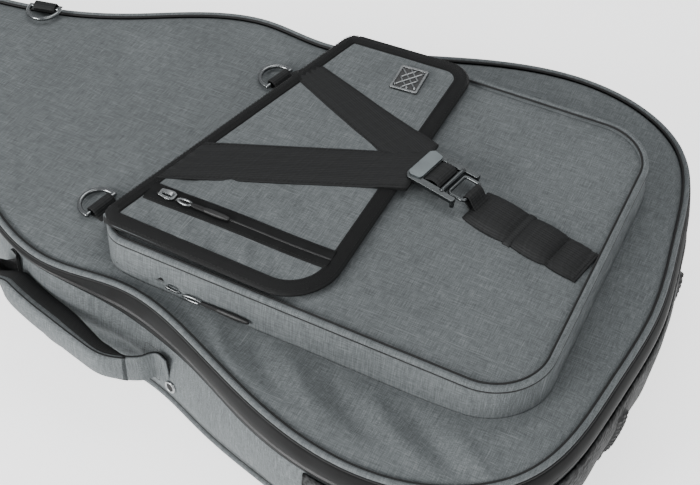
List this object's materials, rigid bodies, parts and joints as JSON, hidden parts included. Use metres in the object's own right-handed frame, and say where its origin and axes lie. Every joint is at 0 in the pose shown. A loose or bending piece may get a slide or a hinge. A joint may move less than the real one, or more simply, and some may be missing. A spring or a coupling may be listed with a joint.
{
  "type": "padded gig bag",
  "caption": "Padded gig bag for an acoustic guitar: zip-round lid, front pocket under a buckled flap, side handle, backpack straps and rubber-shod end.",
  "frame": {"origin": "on the rest plane under the middle of the bag's length, on its centre line", "axes": "+X to the bottom end, -X to the head, +Y to the hinge side, -Y to the handle side, +Z out of the front"},
  "size_m": [1.1812, 0.4624, 0.155],
  "materials": {
    "heather_fabric": "heather grey slub polyester, matt",
    "black_webbing": "ribbed polypropylene webbing",
    "black_binding": "folded grosgrain binding",
    "zip_tape": "coated zip tape",
    "zip_coil": "nylon coil",
    "air_mesh": "spacer mesh",
    "plush_lining": "brushed plush",
    "boot_vinyl": "pebble grain",
    "tread_rubber": "matt moulded",
    "moulded_plastic": "moulded acetal",
    "gunmetal": "dark plated, polished edges",
    "nickel": "bright plated",
    "cord_grip": "moulded over cord"
  },
  "bodies": {
    "shell": {"back_panel": "heather_fabric", "back_piping": "heather_fabric", "spine_pad": "air_mesh", "flank_pads": "air_mesh", "neck_rest_pad": "air_mesh", "side_wall": "heather_fabric", "zip_tape_shell": "zip_tape", "zip_teeth_shell": "zip_coil", "interior_lining": "plush_lining", "bottom_boot": "boot_vinyl", "bottom_feet": "tread_rubber", "hinge_gusset": "black_webbing", "neck_cradle": "plush_lining", "headstock_pad": "plush_lining", "end_pin_pad": "plush_lining", "neck_strap": "black_webbing", "hang_loop": "black_webbing", "shoulder_strap_near": "air_mesh", "shoulder_strap_far": "air_mesh", "strap_anchors": "black_webbing", "ladder_locks": "moulded_plastic", "strap_webbing": "black_webbing", "handle_tabs": "black_webbing", "eyelets": "nickel"},
    "lid": {"lid_panel": "heather_fabric", "lid_lining": "plush_lining", "zip_tape_lid": "zip_tape", "zip_teeth_lid": "zip_coil", "lid_piping": "heather_fabric", "pocket_gusset": "heather_fabric", "pocket_face": "heather_fabric", "pocket_piping": "heather_fabric", "pocket_zip_tape": "zip_tape", "lower_strap": "black_webbing", "strap_keeper": "black_webbing", "d_ring_tabs": "black_webbing"},
    "flap": {"flap_panel": "heather_fabric", "flap_binding": "black_binding", "flap_strap_far": "black_webbing", "flap_strap_near": "black_webbing", "flap_zip_tape": "zip_tape", "badge_plate": "nickel", "buckle_webbing": "black_webbing"},
    "buckle": {"buckle_frame": "gunmetal", "buckle_claws": "gunmetal"},
    "catch_ring": {"catch_ring": "gunmetal"},
    "ring_pocket_near": {"d_ring_pocket_near": "nickel"},
    "ring_pocket_far": {"d_ring_pocket_far": "nickel"},
    "ring_neck_near": {"d_ring_neck_near": "nickel"},
    "ring_neck_far": {"d_ring_neck_far": "nickel"},
    "flap_slider": {"flap_slider": "nickel"},
    "flap_pull": {"flap_pull": "cord_grip"},
    "pocket_slider": {"pocket_slider": "nickel"},
    "pocket_pull": {"pocket_pull": "cord_grip"},
    "zip_slider_a": {"zip_slider_a": "nickel"},
    "zip_pull_a": {"zip_pull_a": "cord_grip"},
    "zip_slider_b": {"zip_slider_b": "nickel"},
    "zip_pull_b": {"zip_pull_b": "cord_grip"},
    "handle": {"handle_grip": "heather_fabric"}
  },
  "joints": [
    {"name": "lid_hinge", "type": "hinge", "parent": "shell", "child": "lid", "pos_m": [0.425, 0.2345, 0.092], "axis": [-1, 0, 0], "range_deg": [0, 170]},
    {"name": "flap_hinge", "type": "hinge", "parent": "lid", "child": "flap", "pos_m": [0.177, 0, 0.1142], "axis": [-0.2419, -0.9703, 0], "range_deg": [0, 75]},
    {"name": "buckle_hinge", "type": "hinge", "parent": "flap", "child": "buckle", "pos_m": [0.36051, 0.02211, 0.1508], "axis": [-0.2164, -0.9763, 0], "range_deg": [0, 85]},
    {"name": "catch_ring_hinge", "type": "hinge", "parent": "lid", "child": "catch_ring", "pos_m": [0.41226, 0.01064, 0.1524], "axis": [0.2164, 0.9763, 0], "range_deg": [0, 80]},
    {"name": "ring_pocket_near_hinge", "type": "hinge", "parent": "lid", "child": "ring_pocket_near", "pos_m": [0.1375, -0.104, 0.115], "axis": [0.2079, 0.9781, 0], "range_deg": [0, 60]},
    {"name": "ring_pocket_far_hinge", "type": "hinge", "parent": "lid", "child": "ring_pocket_far", "pos_m": [0.1885, 0.099, 0.115], "axis": [0.2419, 0.9703, 0], "range_deg": [0, 60]},
    {"name": "ring_neck_near_hinge", "type": "hinge", "parent": "lid", "child": "ring_neck_near", "pos_m": [-0.061, -0.086, 0.117], "axis": [0.9799, -0.1994, 0], "range_deg": [0, 110]},
    {"name": "ring_neck_far_hinge", "type": "hinge", "parent": "lid", "child": "ring_neck_far", "pos_m": [-0.061, 0.086, 0.117], "axis": [-0.9799, -0.1994, 0], "range_deg": [0, 110]},
    {"name": "flap_slider_slide", "type": "slide", "parent": "flap", "child": "flap_slider", "axis": [1, 0, 0], "range_m": [0, 0.12]},
    {"name": "flap_pull_hinge", "type": "hinge", "parent": "flap_slider", "child": "flap_pull", "pos_m": [0.21, -0.0965, 0.1512], "axis": [-0.0523, -0.9986, 0], "range_deg": [0, 90]},
    {"name": "pocket_slider_slide", "type": "slide", "parent": "lid", "child": "pocket_slider", "axis": [1, 0, 0], "range_m": [-0.045, 0.08]},
    {"name": "pocket_pull_hinge", "type": "hinge", "parent": "pocket_slider", "child": "pocket_pull", "pos_m": [0.246, -0.1515, 0.1144], "axis": [-0.0523, -0.9986, 0], "range_deg": [0, 90]},
    {"name": "zip_slider_a_slide", "type": "slide", "parent": "shell", "child": "zip_slider_a", "axis": [1, 0, 0], "range_m": [-0.11, 0]},
    {"name": "zip_pull_a_hinge", "type": "hinge", "parent": "zip_slider_a", "child": "zip_pull_a", "pos_m": [-0.33, -0.0884, 0.089], "axis": [-1, 0, 0], "range_deg": [0, 120]},
    {"name": "zip_slider_b_slide", "type": "slide", "parent": "shell", "child": "zip_slider_b", "axis": [1, 0, 0], "range_m": [0, 0.09]},
    {"name": "zip_pull_b_hinge", "type": "hinge", "parent": "zip_slider_b", "child": "zip_pull_b", "pos_m": [-0.3, -0.0884, 0.089], "axis": [-1, 0, 0], "range_deg": [0, 120]},
    {"name": "handle_hinge", "type": "hinge", "parent": "shell", "child": "handle", "pos_m": [0.151, -0.186, 0.061], "axis": [1, 0, 0], "range_deg": [-15, 30]}
  ]
}
